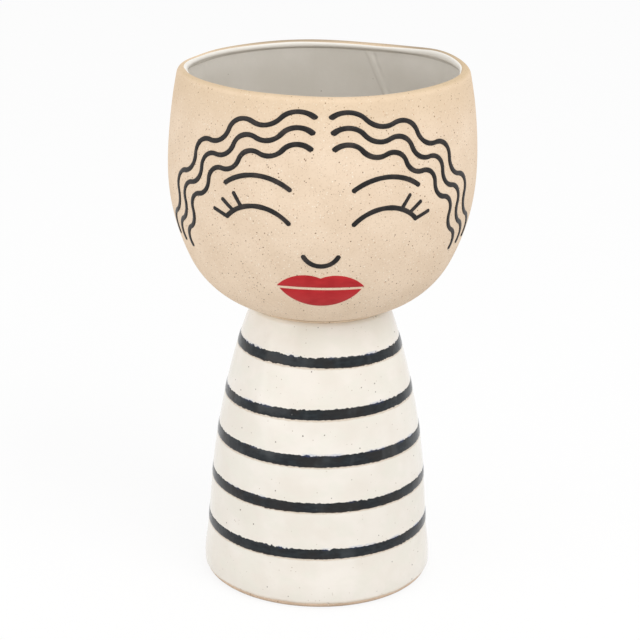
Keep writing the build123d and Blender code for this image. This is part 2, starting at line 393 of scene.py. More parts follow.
# %% [markdown]
# ## Bead and crease
# The lip ends in a small bead on its inner edge, with a hollow below it. The circle of that hollow touches
# the bead and the inner wall, so its centre is where two larger circles cross. The cosine rule gives it.

# %% Roll the bead
BEAD_ARC, BEAD_OUT = 1.65, 0.7  # mm, radius of the bead, and how far it stands out
CREASE_ARC = 1.0  # hollow between the bead and the inner wall

bead_height = PLANTER_TOP - BEAD_ARC
inner_face = polar(upper_mid, UPPER_ARC - BOWL_WALL, upper_turn(BOWL_WALL, bead_height))
bead_mid = (inner_face[0] + BEAD_ARC - BEAD_OUT, bead_height)

# the crease touches the bead on its outside and the inner wall on its inside
to_bead = atan2(bead_mid[1] - upper_mid[1], bead_mid[0] - upper_mid[0])
bead_away = hypot(bead_mid[1] - upper_mid[1], bead_mid[0] - upper_mid[0])
inner_arc = UPPER_ARC - BOWL_WALL - CREASE_ARC
off_bead = BEAD_ARC + CREASE_ARC
swing_in = acos((inner_arc**2 + bead_away**2 - off_bead**2) / (2 * inner_arc * bead_away))
CREASE_TURN = to_bead - swing_in
crease_mid = polar(upper_mid, inner_arc, CREASE_TURN)
CREASE_FROM_BEAD = atan2(crease_mid[1] - bead_mid[1], crease_mid[0] - bead_mid[0]) + 2 * pi
crease_depth = PLANTER_TOP - crease_mid[1]
print("crease lies", round(crease_depth, 2), "mm below the top")

# %% [markdown]
# ## Over the rim
# Clay and glaze both roll over the lip. The way over it is one line, measured in millimetres in from the
# lip's rounding: level at first, then round the bead. A coat is the same line, lifted.

# %% Follow the rim
def levels(low, high, spacing):
    """Values from low to high, evenly spaced."""
    count = ceil((high - low) / spacing)
    return [low + (high - low) * k / count for k in range(count + 1)]


CREST = pi / 2  # angle of the highest point of the lip and of its bead
LIP_FLAT = lip_mid[0] - bead_mid[0]  # level stretch between the two
rim_steps = levels(0.0, LIP_FLAT + BEAD_ARC * (CREASE_FROM_BEAD - CREST), 0.25)


def rim_spot(along, coat):
    """A spot some mm in from the lip's rounding: on the level stretch, or further on round the bead."""
    if along < LIP_FLAT:
        return (lip_mid[0] - along, PLANTER_TOP + coat)
    return polar(bead_mid, BEAD_ARC + coat, CREST + (along - LIP_FLAT) / BEAD_ARC)


def under_bead(coat):
    """From the foot of the bead through the crease, and down the inner wall to the axis."""
    crease = arc(crease_mid, CREASE_ARC - coat, CREASE_FROM_BEAD - pi, CREASE_TURN, 0.3)
    return joined(crease, bowl_wall(BOWL_WALL + coat, CREASE_TURN)[::-1])


print("the way over the rim is", round(rim_steps[-1], 2), "mm long")

# %% [markdown]
# ## Uneven rim
# No thrown pot is a perfect turning. The rim strays most from one: it rises and dips in a few wide waves,
# and it is thinner at both sides, where two hands held it. Each wave or pinch is a soft hump of the angle.
# Sculpting could make them too, but then clay and glaze would need the very same strokes.

# %% Wave and pinch the rim
RIM_SWAY = 0.5  # mm, slow unevenness of the lip, up and down
RIM_ROUND = 1.56  # how quickly that changes round the pot
RIM_WAVES = [(0, 45, -0.9), (122, 18, 1.2), (141, 13, -0.5)]  # degrees, spread, and lift in mm
RIM_WAVES += [(160, 14, -0.6), (230, 25, -0.6), (246, 14, -0.85), (275, 18, -0.5)]
LIP_PINCH = 1.9  # mm by which the lip is thinner at its two sides
PINCH_TURN, PINCH_SPREAD = 110.0, 45.0  # degrees from the front, and over how many of them


def soft_step(value):
    """0 below 0 and 1 above 1, with a soft step between them."""
    share = min(1.0, max(0.0, value))
    return share * share * (3 - 2 * share)


def hump(turn, angle, spread):
    """1 at an angle and less on both sides of it, in degrees."""
    apart = abs(degrees(turn) - angle) % 360
    return exp(-((min(apart, 360 - apart) / spread) ** 2))


def rim_lift(turn):
    """How far the rim is lifted at an angle, in mm."""
    around = Vector((sin(turn), cos(turn), 0)) * RIM_ROUND
    slow = noise.noise(around + Vector((9, 5, 0))) * RIM_SWAY
    return slow + sum(lift * hump(turn, angle, spread) for angle, spread, lift in RIM_WAVES)


def lip_pinch(radius, turn):
    """How far the inner face of the lip is pressed outwards, in mm."""
    inward = soft_step((lip_mid[0] + LIP_ARC - radius) / (BOWL_WALL + BEAD_OUT))
    nearer = max(hump(turn, PINCH_TURN, PINCH_SPREAD), hump(turn, -PINCH_TURN, PINCH_SPREAD))
    return LIP_PINCH * inward * nearer


print("at the front the rim is lifted by", round(rim_lift(0.0), 2), "mm")

# %% [markdown]
# ## The potter's hand
# One function moves every point of every piece, by where it is and not by what it belongs to, so clay,
# glaze and lines stay in touch. The wall strays by a few tenths of a millimetre. Towards the top come the
# waves and the pinch of the rim, and the bowl leans a little.

# %% Sway like a hand
SWAY, FINGERS = 0.45, 0.07  # mm, slow unevenness of the wall, and the finer marks of fingers
SWAY_ROUND, FINGERS_ROUND = 1.3, 6.5  # how quickly these change round the pot
SWAY_UP, FINGERS_UP = 45.0, 9.0  # mm of height in which they change
RIM_DEPTH = 14.0  # mm below the top where the rim's own movement begins
LEAN, LEAN_START, LEAN_DEPTH = 0.4, 185.0, 50.0  # mm to the viewer's right, from a height, over a height


def by_hand(radius, turn, height):
    """A point of the true shape, as radius, angle from the front and height, where the hand left it."""
    around = Vector((sin(turn), cos(turn), 0))
    slow = SWAY * noise.noise(around * SWAY_ROUND + Vector((0, 0, height / SWAY_UP)))
    fine = FINGERS * noise.noise(around * FINGERS_ROUND + Vector((4, 0, height / FINGERS_UP)))
    at_rim = soft_step(1 - (PLANTER_TOP - height) / RIM_DEPTH)
    moved = radius + (slow + fine) * min(1.0, radius / BELLY) + lip_pinch(radius, turn) * at_rim
    lean = LEAN * soft_step((height - LEAN_START) / LEAN_DEPTH)
    return Vector((moved * sin(turn) + lean, -moved * cos(turn), height + rim_lift(turn) * at_rim)) * MM


lip_front = by_hand(lip_mid[0], 0.0, PLANTER_TOP)
print("front of the lip is", round(lip_front.z / MM, 2), "mm up")

# %% [markdown]
# ## From points to pieces
# Every mesh is filled point by point, smoothed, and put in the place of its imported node, which stays hidden
# behind it. Rings of points are joined by faces, and a ring of one point closes a tip.

# %% Wrap a mesh as a piece
def mesh_piece(name, nodes, finish, grid_faces):
    """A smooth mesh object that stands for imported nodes. grid_faces fills an empty bmesh."""
    work = bmesh.new()
    grid_faces(work)
    bmesh.ops.recalc_face_normals(work, faces=work.faces)
    mesh = bpy.data.meshes.new(name)
    work.to_mesh(mesh)
    work.free()
    mesh.polygons.foreach_set("use_smooth", [True] * len(mesh.polygons))
    mesh.materials.append(finish)
    piece = bpy.data.objects.new(name, mesh)
    bpy.context.scene.collection.objects.link(piece)
    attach(piece, "root")
    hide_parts(*nodes)
    print(name, "has", len(mesh.polygons), "faces")
    return piece


def bridge(work, first, second):
    """Faces between two rings of vertices, where a ring of one vertex is a tip."""
    count = max(len(first), len(second))
    for k in range(count):
        after = (k + 1) % count
        if len(first) == 1:
            work.faces.new((first[0], second[k], second[after]))
        elif len(second) == 1:
            work.faces.new((first[k], first[after], second[0]))
        else:
            work.faces.new((first[k], first[after], second[after], second[k]))


print("a mesh can stand for a packed node")

# %% [markdown]
# ## Lathe
# A Screw modifier turns one outline about an axis. Here the outline may change with the angle, for ragged
# and wiped edges, so the lathe asks for it at every step and makes the rings itself.

# %% Build the lathe
LATHE_STEPS = 288


def lathe(name, nodes, finish, outline, steps=LATHE_STEPS):
    """Turns outline(turn), a list of (radius, height) points, about the axis.

    An outline that starts on the axis ends there. Any other one is a loop.
    """

    def turned(work):
        turns = [2 * pi * k / steps for k in range(steps)]
        sections = [outline(turn) for turn in turns]
        rings = []
        for index, (radius, height) in enumerate(sections[0]):
            if radius == 0:
                rings.append([work.verts.new(by_hand(0, 0, height))])
            else:
                spots = [(*section[index], turn) for section, turn in zip(sections, turns)]
                rings.append([work.verts.new(by_hand(r, turn, z)) for r, z, turn in spots])
        pairs = list(zip(rings, rings[1:]))
        if len(rings[0]) > 1:
            pairs.append((rings[-1], rings[0]))
        for first, second in pairs:
            bridge(work, first, second)

    return mesh_piece(name, nodes, finish, turned)


print("the lathe makes", LATHE_STEPS, "steps in a turn, or more for ragged edges")

# %% [markdown]
# ## Bare clay
# The bowl outside, the lip's outer half and the foot are unglazed stoneware: matt, sandy, full of pale
# grains and fine brown specks of iron. Specks are cells of a Voronoi texture that keep only a small
# round heart, so they have a size in millimetres. They also feed the bump, as grains that stand up.
# The kiln toasted the rim, which the height mixes in, and its crest is a tan line. The height also paints
# shade: that line darker and greyer at the back, and a dark contact line at the bottom of the foot.

# %% Mix the clay
TOAST_DEPTH = 24.0  # mm below the top where the clay starts to brown


def clay_finish(name, light, dark, sand_tone):
    """Sandy stoneware between two tones."""
    finish = Finish(name)
    sand = finish.cloud(0.9, 3.0)
    body = finish.mix(finish.cloud(16.0, 3.0).rise(0.3, 0.7), dark, light)
    body = finish.mix(sand.rise(0.45, 0.8) * 0.4, body, sand_tone)
    grains = finish.specks(1.2, 0.4, 0.5)
    rust = finish.specks(2.2, 0.36, 0.6)
    iron = finish.specks(1.6, 0.37, 0.6)
    dust = finish.specks(0.8, 0.24, 0.55)
    body = finish.mix(grains * 0.75, body, colour(252, 240, 222))
    body = finish.mix(rust * 0.6, body, colour(188, 128, 84))
    body = finish.mix(iron * 0.9, body, colour(118, 84, 58))
    body = finish.mix(dust * 0.5, body, colour(150, 114, 82))
    toasted = finish.axis("Z").rise(PLANTER_TOP - TOAST_DEPTH, PLANTER_TOP - 2)
    body = finish.mix(toasted * 0.33, body, colour(214, 186, 146))
    # Painted contact shadow: a dark line along the bottom of the foot, where it meets the floor.
    foot_contact_shade = 1 - finish.axis("Z").rise(0.3, 1.6)
    body = finish.mix(foot_contact_shade * 0.5, body, colour(140, 116, 90))
    # Painted shade: along the crest the clay's tan tone turns darker and greyer towards the back, where the
    # lip turns away.
    at_crest = finish.axis("Z").rise(PLANTER_TOP - 1.5, PLANTER_TOP + 0.2)
    behind = finish.axis("Y").rise(0.0, 45.0)
    crest_tone_and_shade = finish.mix(behind, colour(196, 172, 132), colour(158, 142, 122))
    body = finish.mix(at_crest * (behind * 0.3 + 0.5), body, crest_tone_and_shade)
    height = sand + grains * 0.5 - iron * 0.5
    rough = sand * 0.1 + 0.84
    normal = finish.bump(height, 0.12, 0.6)
    return finish.surface(Base_Color=body, Roughness=rough, Specular_IOR_Level=0.25, Normal=normal)


clay = clay_finish("bare_clay", colour(241, 219, 194), colour(234, 211, 185), colour(212, 187, 157))
foot_clay = clay_finish("foot_clay", colour(226, 201, 177), colour(212, 186, 161), colour(188, 160, 132))
slip = clay_finish("joining_slip", colour(232, 212, 186), colour(222, 200, 173), colour(204, 180, 150))

# %% [markdown]
# ## Bowl
# The wall runs from the axis up to the rounded lip, over the small bead, through the crease and back
# down inside. One closed outline makes both faces of the wall, so the mesh is a solid shell.

# %% Throw the bowl
lip = arc(lip_mid, LIP_ARC, LIP_TURN, CREST, 0.4)
rim = [rim_spot(along, 0.0) for along in rim_steps]
clay_bowl = joined(bowl_wall(0.0, LIP_TURN), lip, rim, under_bead(0.0))
lathe("thrown_bowl", ["head_bowl"], clay, lambda turn: clay_bowl)

# %% [markdown]
# ## Glaze inside the bowl
# White glaze lines the bowl and rolls over its bead. It was wiped back by hand, so its edge wanders along
# the lip and stays behind the bead at the front. At its edge the coat thins out and dips under the clay.
# A few angles with their distances from the lip's rounding are enough to follow it.

# %% Find the wiped edge
GLAZE = 0.5  # mm, thickness of both white coats
SUNK = 0.12  # mm, hidden side of a coat below the face of the clay
WIPED = [(-180, 2.8), (-150, 2.5), (-122, 2.2), (-88, 1.5), (-76, 3.6)]  # degrees, mm in from the rounding
WIPED += [(80, 3.6), (96, 2.5), (112, 2.2), (135, 2.6), (160, 2.9), (180, 2.8)]
WIPED_WANDER = 0.25  # mm by which the edge strays from that
WIPED_ROLL = 0.7  # mm in which the coat gets its full thickness


def wiped_edge(turn):
    """How far in from the lip's rounding the glaze starts."""
    angle = degrees(turn) if turn < pi else degrees(turn) - 360
    for (begin, first), (end, last) in zip(WIPED, WIPED[1:]):
        if angle <= end:
            edge = first + (last - first) * soft_step((angle - begin) / (end - begin))
            return edge + WIPED_WANDER * noise.noise(Vector((sin(turn), cos(turn), 0.2)) * 4)


print("at the back the glaze starts", round(wiped_edge(pi), 2), "mm in from the rounding")

# %% [markdown]
# ## Run in the glaze
# A run of thicker glaze slants down the back wall as a low ridge. Bump alone would vanish in a reflection
# or from the side, so the ridge is in the outline: at each angle the coat knows how near the run is.

# %% Shape the liner
RUN_TOP, RUN_SLANT = radians(159.2), radians(0.38)  # angle at the crease, and its turn per mm
RUN_WIDTH, RUN_HEIGHT = radians(1.5), 0.5  # half its width as an angle, and mm
RUN_START = 3.0  # mm below the crease in which the run swells
RUN_END, RUN_FADE = 150.0, 40.0  # mm, height where the run has died away, and over how much
GLAZE_STEPS = 480  # steps of a turn, enough for the ragged edge of a coat
liner_back = joined([rim_spot(along, -2 * SUNK) for along in rim_steps], under_bead(-2 * SUNK))


def liner_outline(turn):
    """The section of the lining at an angle: its face from the bottom up, then its back downwards."""
    line = []
    for along in rim_steps:
        share = soft_step((along - wiped_edge(turn)) / WIPED_ROLL)
        line.append(rim_spot(along, (GLAZE + SUNK) * share - SUNK))
    for radius, height in under_bead(GLAZE)[1:]:
        below_crease = crease_mid[1] - height
        away = turn - RUN_TOP + RUN_SLANT * below_crease
        fade = soft_step((height - RUN_END) / RUN_FADE) * soft_step(below_crease / RUN_START)
        ridge = RUN_HEIGHT * fade * max(0.0, 1 - (away / RUN_WIDTH) ** 2)
        line.append((max(0.0, radius - ridge), height))
    return line[::-1] + liner_back


print("liner outline has", len(liner_outline(0.0)), "points")

# %% [markdown]
# ## Liner glaze
# The lining is a satin white glaze, painted greyer than the coat outside as shade inside the bowl. A
# painted light makes it whitest on the bead, and a painted shade greys the crease. The run is a pale streak
# between two darker sides: painted light and shade of its ridge, with the streak partly whiter thicker
# glaze. Soft steps of the height, and of the angle round the bowl, place all of these, so they sit where
# the mesh has them.

# %% Mix the liner glaze and pour it
liner_glaze = Finish("liner_glaze")
pooled = liner_glaze.cloud(22.0, 3.0).rise(0.3, 0.75)
# Painted shade: both off-whites are greyer than the white coat outside, for the shade inside the bowl.
lining = liner_glaze.mix(pooled, colour(215, 210, 201), colour(222, 217, 209))
below_top = PLANTER_TOP - liner_glaze.axis("Z")
# Painted shade: a grey ring in the crease under the bead.
crease_shade = below_top.rise(2.6, 3.0) * (1 - below_top.rise(3.2, 4.0))
lining = liner_glaze.mix(crease_shade * 0.45, lining, colour(150, 141, 127))
# Painted light: the lining is mixed towards white on the bead, where it catches light.
bead_light = 1 - below_top.rise(1.7, 2.7)
lining = liner_glaze.mix(bead_light * 0.85, lining, colour(245, 241, 233))
sideways = liner_glaze.axis("X")
around = sideways.math("ARCTAN2", sideways, liner_glaze.axis("Y") * -1)
from_run = (around - RUN_TOP + (below_top - crease_depth) * RUN_SLANT) / RUN_WIDTH
from_run = from_run + (liner_glaze.cloud(9.0) - 0.5) * 1.6
under_crease = below_top.rise(3.4, 6.0) * (1 - below_top.rise(40.0, 75.0))
# Painted light and shade of the run's ridge: a pale streak along it, partly whiter thicker glaze, and darker
# sides.
pale_run_and_light = from_run.beside(0.2, 1.3, 1.1) * under_crease
run_shade = (from_run.beside(-1.2, 0.9, 0.7) + from_run.beside(1.4, 0.5, 0.6)) * under_crease
lining = liner_glaze.mix(pale_run_and_light * 0.3, lining, colour(240, 236, 228))
lining = liner_glaze.mix(run_shade * pooled * 0.4, lining, colour(158, 150, 138))
freckles = liner_glaze.specks(4.0, 0.4, 0.25)
lining = liner_glaze.mix(freckles * 0.6, lining, colour(140, 126, 110))
dimples = liner_glaze.cloud(5.0) + liner_glaze.cloud(1.2) * 0.2
liner_glaze.surface(
    Base_Color=lining,
    Roughness=liner_glaze.cloud(9.0) * 0.12 + 0.3,
    Normal=liner_glaze.bump(dimples, 0.12),
)
lathe("poured_liner", ["bowl_liner_glaze"], liner_glaze.material, liner_outline, GLAZE_STEPS)

# %% [markdown]
# ## Stand
# The stand is a cone that leans in by a few degrees and then curves to the neck. Its radius is a plain
# function of the height: a corner arc at the foot, a straight taper, and an arc that runs on from it.

# %% Work out the stand's side
FOOT = 53.4  # mm, radius on the table if the corner were sharp
TAPER = radians(4.3)
SHOULDER = 44.0  # height where the side starts to curve in
NECK = 31.3
STAND_WALL = 5.5
FOOT_CORNER = 3.0
SLIP = 0.8  # layer of slip under the bowl


def under_bowl(radius, drop=0.0):
    """Height of the bowl's underside at a radius, or of a layer below it."""
    return bottom_mid[1] - sqrt((BOTTOM_ARC + drop) ** 2 - radius**2)


shoulder_spot = (FOOT - SHOULDER * tan(TAPER), SHOULDER)
to_neck = (NECK - shoulder_spot[0], under_bowl(NECK) - SHOULDER)
across_side = to_neck[0] * cos(TAPER) + to_neck[1] * sin(TAPER)
STAND_ARC = (to_neck[0] ** 2 + to_neck[1] ** 2) / (-2 * across_side)
stand_mid = polar(shoulder_spot, -STAND_ARC, TAPER)
corner_mid = (FOOT - FOOT_CORNER * (tan(TAPER) + 1 / cos(TAPER)), FOOT_CORNER)


def stand_radius(height, out=0.0):
    """Radius of the stand's side at a height, moved out by some mm."""
    if height < FOOT_CORNER * (1 + sin(TAPER)):
        return corner_mid[0] + out + sqrt(max(0.0, FOOT_CORNER**2 - (height - FOOT_CORNER) ** 2))
    if height < SHOULDER:
        return FOOT - height * tan(TAPER) + out / cos(TAPER)
    return stand_mid[0] + sqrt((STAND_ARC + out) ** 2 - (height - stand_mid[1]) ** 2)


print("the stand curves in on a radius of", round(STAND_ARC, 1), "mm")

# %% [markdown]
# ## Hollow inside
# A thick solid stand would dry unevenly and crack in the kiln, so it is hollow and open below. Its outline
# goes up outside and comes down inside, and a flat ring with a rounded corner is left to stand on.

# %% Throw the stand
FOOT_INNER, FOOT_BEVEL = 48.4, 0.6  # mm, inner radius of the ring on the table, and height of its bevel
CORNER_END = 1.1 * FOOT_CORNER  # mm, first level above the rounded corner
outer_top = under_bowl(NECK, SLIP)
inner_top = under_bowl(NECK - STAND_WALL, SLIP)
outside = [(stand_radius(z), z) for z in levels(CORNER_END, outer_top, 2.5)]
taper_levels = levels(FOOT_BEVEL, SHOULDER, 4.0)
inside = [(FOOT - z * tan(TAPER) - STAND_WALL / cos(TAPER), z) for z in taper_levels]
inside += [(stand_radius(z, -STAND_WALL), z) for z in levels(SHOULDER, inner_top, 3.0)[1:]]
corner = arc(corner_mid, FOOT_CORNER, -pi / 2, TAPER, 0.4)
clay_stand = [(FOOT_INNER, 0.0)] + corner + outside + inside[::-1]
lathe("thrown_stand", ["hollow_stand"], foot_clay, lambda turn: clay_stand)

# %% [markdown]
# ## Slip joint
# Bowl and stand were scored, wetted and pressed together. The slip between them shows as a thin seam
# that bulges a little, uneven where a finger wiped it.

# %% Press the slip joint
BULGE, BULGE_STRAYS = 0.32, 0.2  # mm that the slip stands out, and how much that changes
BULGE_LOW, BULGE_HIGH = 0.6 * SLIP, 0.3 * SLIP  # mm below the bowl, between which it is widest
BULGE_TOP = 0.6  # share of the bulge that is left at the bowl


def slip_outline(turn):
    """The section of the slip at an angle: the seam outside from the stand up, then the bore."""
    out = BULGE + BULGE_STRAYS * noise.noise(Vector((sin(turn), cos(turn), 2.0)) * 5)
    rim, bore = NECK + GLAZE, NECK - STAND_WALL
    seam = [(rim, under_bowl(rim, SLIP)), (rim + out, under_bowl(rim, BULGE_LOW))]
    seam += [(rim + out, under_bowl(rim + out, BULGE_HIGH)), (rim + out * BULGE_TOP, under_bowl(rim))]
    inner = [(bore - out, under_bowl(bore)), (bore - out, under_bowl(bore, SLIP))]
    return seam + inner


lathe("pressed_slip", ["slip_joint"], slip, slip_outline)

# %% [markdown]
# ## White coat
# The white glaze is brushed on and ends in a rolled edge above the bare foot. The edge wanders, so the
# outline changes with the angle: below the edge it dips under the clay, and above it the coat swells to
# its full thickness. Near the foot it has sagged and is a little fuller.

# %% Shape the white coat
GLAZE_EDGE = 2.3  # mm above the table
EDGE_WANDER, EDGE_RAGGED = 0.5, 0.25  # mm, slow and quick straying of the edge
GLAZE_ROLL = 1.1  # height in which the coat gets its full thickness
SAG, SAG_TOP = 0.5, 22.0  # mm by which the coat is fuller, and below which height
SAG_SWELL, SAG_FADE = 6.0, 12.0  # mm of height in which that comes and goes
EDGE_LOW, EDGE_HIGH = 1.6, 5.0  # mm, heights between which the levels are close
glaze_levels = levels(EDGE_LOW, EDGE_HIGH, 0.35)
glaze_levels += levels(EDGE_HIGH, under_bowl(NECK + GLAZE, SLIP), 2.0)[1:]


def white_outline(turn):
    """The section of the white coat at an angle: its face upwards, then its back downwards."""
    around = Vector((sin(turn), cos(turn), 0.7))
    edge = GLAZE_EDGE + EDGE_WANDER * noise.noise(around * 5) + EDGE_RAGGED * noise.noise(around * 23)
    front = []
    for z in glaze_levels:
        coat = (GLAZE + SUNK) * soft_step((z - edge) / GLAZE_ROLL) - SUNK
        fuller = SAG * soft_step((z - edge) / SAG_SWELL) * soft_step((SAG_TOP - z) / SAG_FADE)
        front.append((stand_radius(z) + coat + fuller, z))
    return front + [(stand_radius(z) - 2 * SUNK, z) for z in glaze_levels[::-1]]


print("white coat has", len(glaze_levels), "levels")

# %% [markdown]
# ## White glaze
# It is glossy and warm, cloudy where it is thicker, with sparse specks of iron that came through. Along each
# stripe the glazes ran into each other: a brown halo below it, and here and there blue above it. A height
# roughened by noise gives both their ragged width.

# %% Mix the white glaze and brush it on
STRIPES = [26.8, 49.1, 70.6, 91.5, 114.4]  # mm, heights of their middles
STRIPE_WIDTHS = [5.2, 5.2, 5.9, 5.0, 5.0]
STRIPE_TILTS = [0.3, 0.1, 0.1, 0.9, -0.4]  # mm by which they rise to the viewer's right

white_glaze = Finish("white_glaze")
clouds = white_glaze.cloud(18.0, 3.0).rise(0.3, 0.7)
white = white_glaze.mix(clouds, colour(236, 229, 218), colour(243, 237, 228))
cool = white_glaze.cloud(13.0, 2.0, (1, 1, 1.6)).rise(0.45, 0.65)
white = white_glaze.mix(cool * 0.5, white, colour(235, 232, 220))
sideways = white_glaze.axis("X")
ragged = white_glaze.axis("Z") + (white_glaze.cloud(2.2, 3.0) - 0.5) * 0.9
patches = white_glaze.cloud(9.0).rise(0.48, 0.68)
for level, width, tilt in zip(STRIPES, STRIPE_WIDTHS, STRIPE_TILTS):
    tilted = ragged - sideways * (tilt / stand_radius(level))
    halo = tilted.beside(level - width / 2, 0.9, 1.5)
    white = white_glaze.mix(halo * 0.45, white, colour(184, 156, 122))
    bleed = tilted.beside(level + width / 2, 1.5, 0.8) * patches
    white = white_glaze.mix(bleed * 0.5, white, colour(150, 166, 196))
thin = 1 - ragged.rise(GLAZE_EDGE + 0.3, GLAZE_EDGE + 2.2)
white = white_glaze.mix(thin * 0.35, white, colour(214, 190, 160))
big_specks = white_glaze.specks(3.2, 0.42, 0.28)
white = white_glaze.mix(big_specks * 0.85, white, colour(78, 62, 48))
pin_specks = white_glaze.specks(1.9, 0.3, 0.34)
white = white_glaze.mix(pin_specks * 0.5, white, colour(150, 124, 96))
waves = white_glaze.cloud(11.0) + white_glaze.cloud(2.5) * 0.12
white_glaze.surface(
    Base_Color=white,
    Roughness=white_glaze.cloud(6.0) * 0.08 + 0.1,
    Specular_IOR_Level=0.3,
    Normal=white_glaze.bump(waves, 0.35),
)
lathe("white_coat", ["stand_white_glaze"], white_glaze.material, white_outline, GLAZE_STEPS)

# %% [markdown]
# ## Stripe glaze
# The bands are blue black, brown in places, and streaked by the brush: noise that is stretched along the
# band makes the streaks. Soft lighter patches on them are painted reflection of the gloss. Their upper edge
# bled blue and their lower edge brown, as the white beside them did.

# %% Mix the stripe glaze
dark_glaze = Finish("dark_stripe")
brushed = dark_glaze.cloud(4.0, 4.0, (1, 1, 3)).rise(0.3, 0.75)
dark = dark_glaze.mix(brushed, colour(18, 23, 28), colour(34, 41, 45))
warm = dark_glaze.cloud(15.0).rise(0.45, 0.6)
dark = dark_glaze.mix(warm * 0.6, dark, colour(35, 31, 28))
# Painted reflection: soft lighter grey patches stand for the gloss reflecting the room.
painted_reflection = dark_glaze.cloud(9.0, 2.0, (1, 1, 0.5)).rise(0.52, 0.72)
dark = dark_glaze.mix(painted_reflection * 0.28, dark, colour(82, 86, 88))
patches = dark_glaze.cloud(9.0).rise(0.48, 0.68)
sideways = dark_glaze.axis("X")
ragged = dark_glaze.axis("Z") + (dark_glaze.cloud(1.6, 3.0) - 0.5) * 1.2
for level, width, tilt in zip(STRIPES, STRIPE_WIDTHS, STRIPE_TILTS):
    tilted = ragged - sideways * (tilt / stand_radius(level))
    blue = tilted.beside(level + width / 2, 1.3, 1.5) * patches
    dark = dark_glaze.mix(blue * 0.7, dark, colour(54, 66, 104))
    brown = tilted.beside(level - width / 2, 0.8, 0.8)
    dark = dark_glaze.mix(brown * 0.6, dark, colour(72, 54, 40))
skips = dark_glaze.specks(3.0, 0.35, 0.2)
dark = dark_glaze.mix(skips * 0.5, dark, colour(120, 120, 118))
ripples = dark_glaze.cloud(11.0) + dark_glaze.cloud(1.5) * 0.2
dark_glaze.surface(
    Base_Color=dark,
    Roughness=brushed * 0.12 + 0.14,
    Specular_IOR_Level=0.28,
    Normal=dark_glaze.bump(ripples, 0.35),
)

# %% [markdown]
# ## Stripes
# A band's edges wander slowly and are ragged in between, where the brush skipped, and the whole band may
# tilt a little. Both edges are functions of the angle, so a band is one more turning. It is let into the
# white and stands a hair proud of it.

# %% Brush on the stripes
STRIPE_PROUD = 0.12  # mm above the white
STRIPE_DEEP = 0.25  # mm below it
WANDER = 0.35  # mm, slow straying of an edge
RAGGED = {1: 0.8, -1: 0.44}  # mm, quick straying of the upper and the lower edge
CALM = 0.5  # share of the raggedness where the brush didn't skip
ACROSS = [0.0, 0.06, 0.2, 0.5, 0.8, 0.94, 1.0]  # where a band's section has its points
BAND_RISE = [STRIPE_PROUD - (STRIPE_PROUD + SUNK) * abs(2 * share - 1) ** 8 for share in ACROSS]
STRIPE_STEPS = 900  # steps of a turn, enough for the ragged edges


def brushed_edge(turn, number, side):
    """How far an edge of a stripe strays, in mm. The side is 1 for the upper one and -1 for the lower."""
    around = Vector((sin(turn), cos(turn), 3.1 * number + side))
    slow = WANDER * noise.noise(around * 1.8)
    patchy = CALM + max(0.0, noise.noise(around * 3.3 + Vector((7, 0, 0))))
    teeth = noise.noise(around * 34) + 0.7 * noise.noise(around * 71)
    return slow + RAGGED[side] * patchy * teeth


def stripe_outline(number):
    """The outline of one stripe, as a function of the angle."""
    level, width, tilt = STRIPES[number], STRIPE_WIDTHS[number], STRIPE_TILTS[number]

    def outline(turn):
        mid = level + tilt * sin(turn)
        low = mid - width / 2 + brushed_edge(turn, number, -1)
        high = mid + width / 2 + brushed_edge(turn, number, 1)
        heights = [low + share * (high - low) for share in ACROSS]
        front = [(stand_radius(z, GLAZE + lift), z) for z, lift in zip(heights, BAND_RISE)]
        return front + [(stand_radius(z, GLAZE - STRIPE_DEEP), z) for z in (high, low)]

    return outline


for number in range(len(STRIPES)):
    node = f"dark_stripe_{number + 1}"
    band = stripe_outline(number)
    lathe(f"brushed_{node}", [node], dark_glaze.material, band, STRIPE_STEPS)

# %% [markdown]
# ## Drawn face
# The face and hair are lines of black slip, trailed on the wall and fired. A drawing is flat, with spots
# as complex numbers: width is the real part and height the imaginary one. To lay it on the bowl, the
# height gives the wall's radius and slope, and the width becomes an angle round the axis.

# %% Lay a flat drawing on the wall
def wall_at(height):
    """The bowl's radius at a height, and the angle at which its wall faces up."""
    for mid, size, _, end in WALL_ARCS:
        if height <= mid[1] + size * sin(end) or mid is upper_mid:
            facing = asin((height - mid[1]) / size)
            return mid[0] + size * cos(facing), facing


def on_wall(spot, plane_turn, lift):
    """A spot of a flat drawing, laid on the wall of the bowl and lifted off it."""
    radius, facing = wall_at(spot.imag)
    turn = plane_turn + asin(spot.real / radius)
    return by_hand(radius + lift * cos(facing), turn, spot.imag + lift * sin(facing))


print("at the belly the wall is", round(wall_at(side_mid[1])[0], 2), "mm from the axis")

# %% [markdown]
# ## Arcs of a drawing
# Lids, brows and waves are arcs. With complex numbers, turning a heading is one multiplication, so an arc
# is found from its two ends and the heading in which it starts. Bezier curves would need handles by eye.

# %% Bend lines from arcs
ARC_STEPS = 24


def swing(start, end, heading):
    """Points on the arc that leaves start in a heading and ends at end, and its heading there."""
    chord = end - start
    lean = cmath.phase(heading / chord)
    if abs(lean) < 1e-6:
        return [start, end], heading
    whole = chord * cmath.exp(1j * lean) / (2j * sin(lean))
    turns = [-2j * lean * k / ARC_STEPS for k in range(ARC_STEPS + 1)]
    points = [start + whole * (1 - cmath.exp(turn)) for turn in turns]
    return points, chord / abs(chord) * cmath.exp(-1j * lean)


def arched(start, end, rise):
    """Points on the arc between two spots that rises over the middle of its chord."""
    chord = end - start
    return swing(start, end, chord * cmath.exp(2j * atan2(2 * rise, abs(chord))))[0]


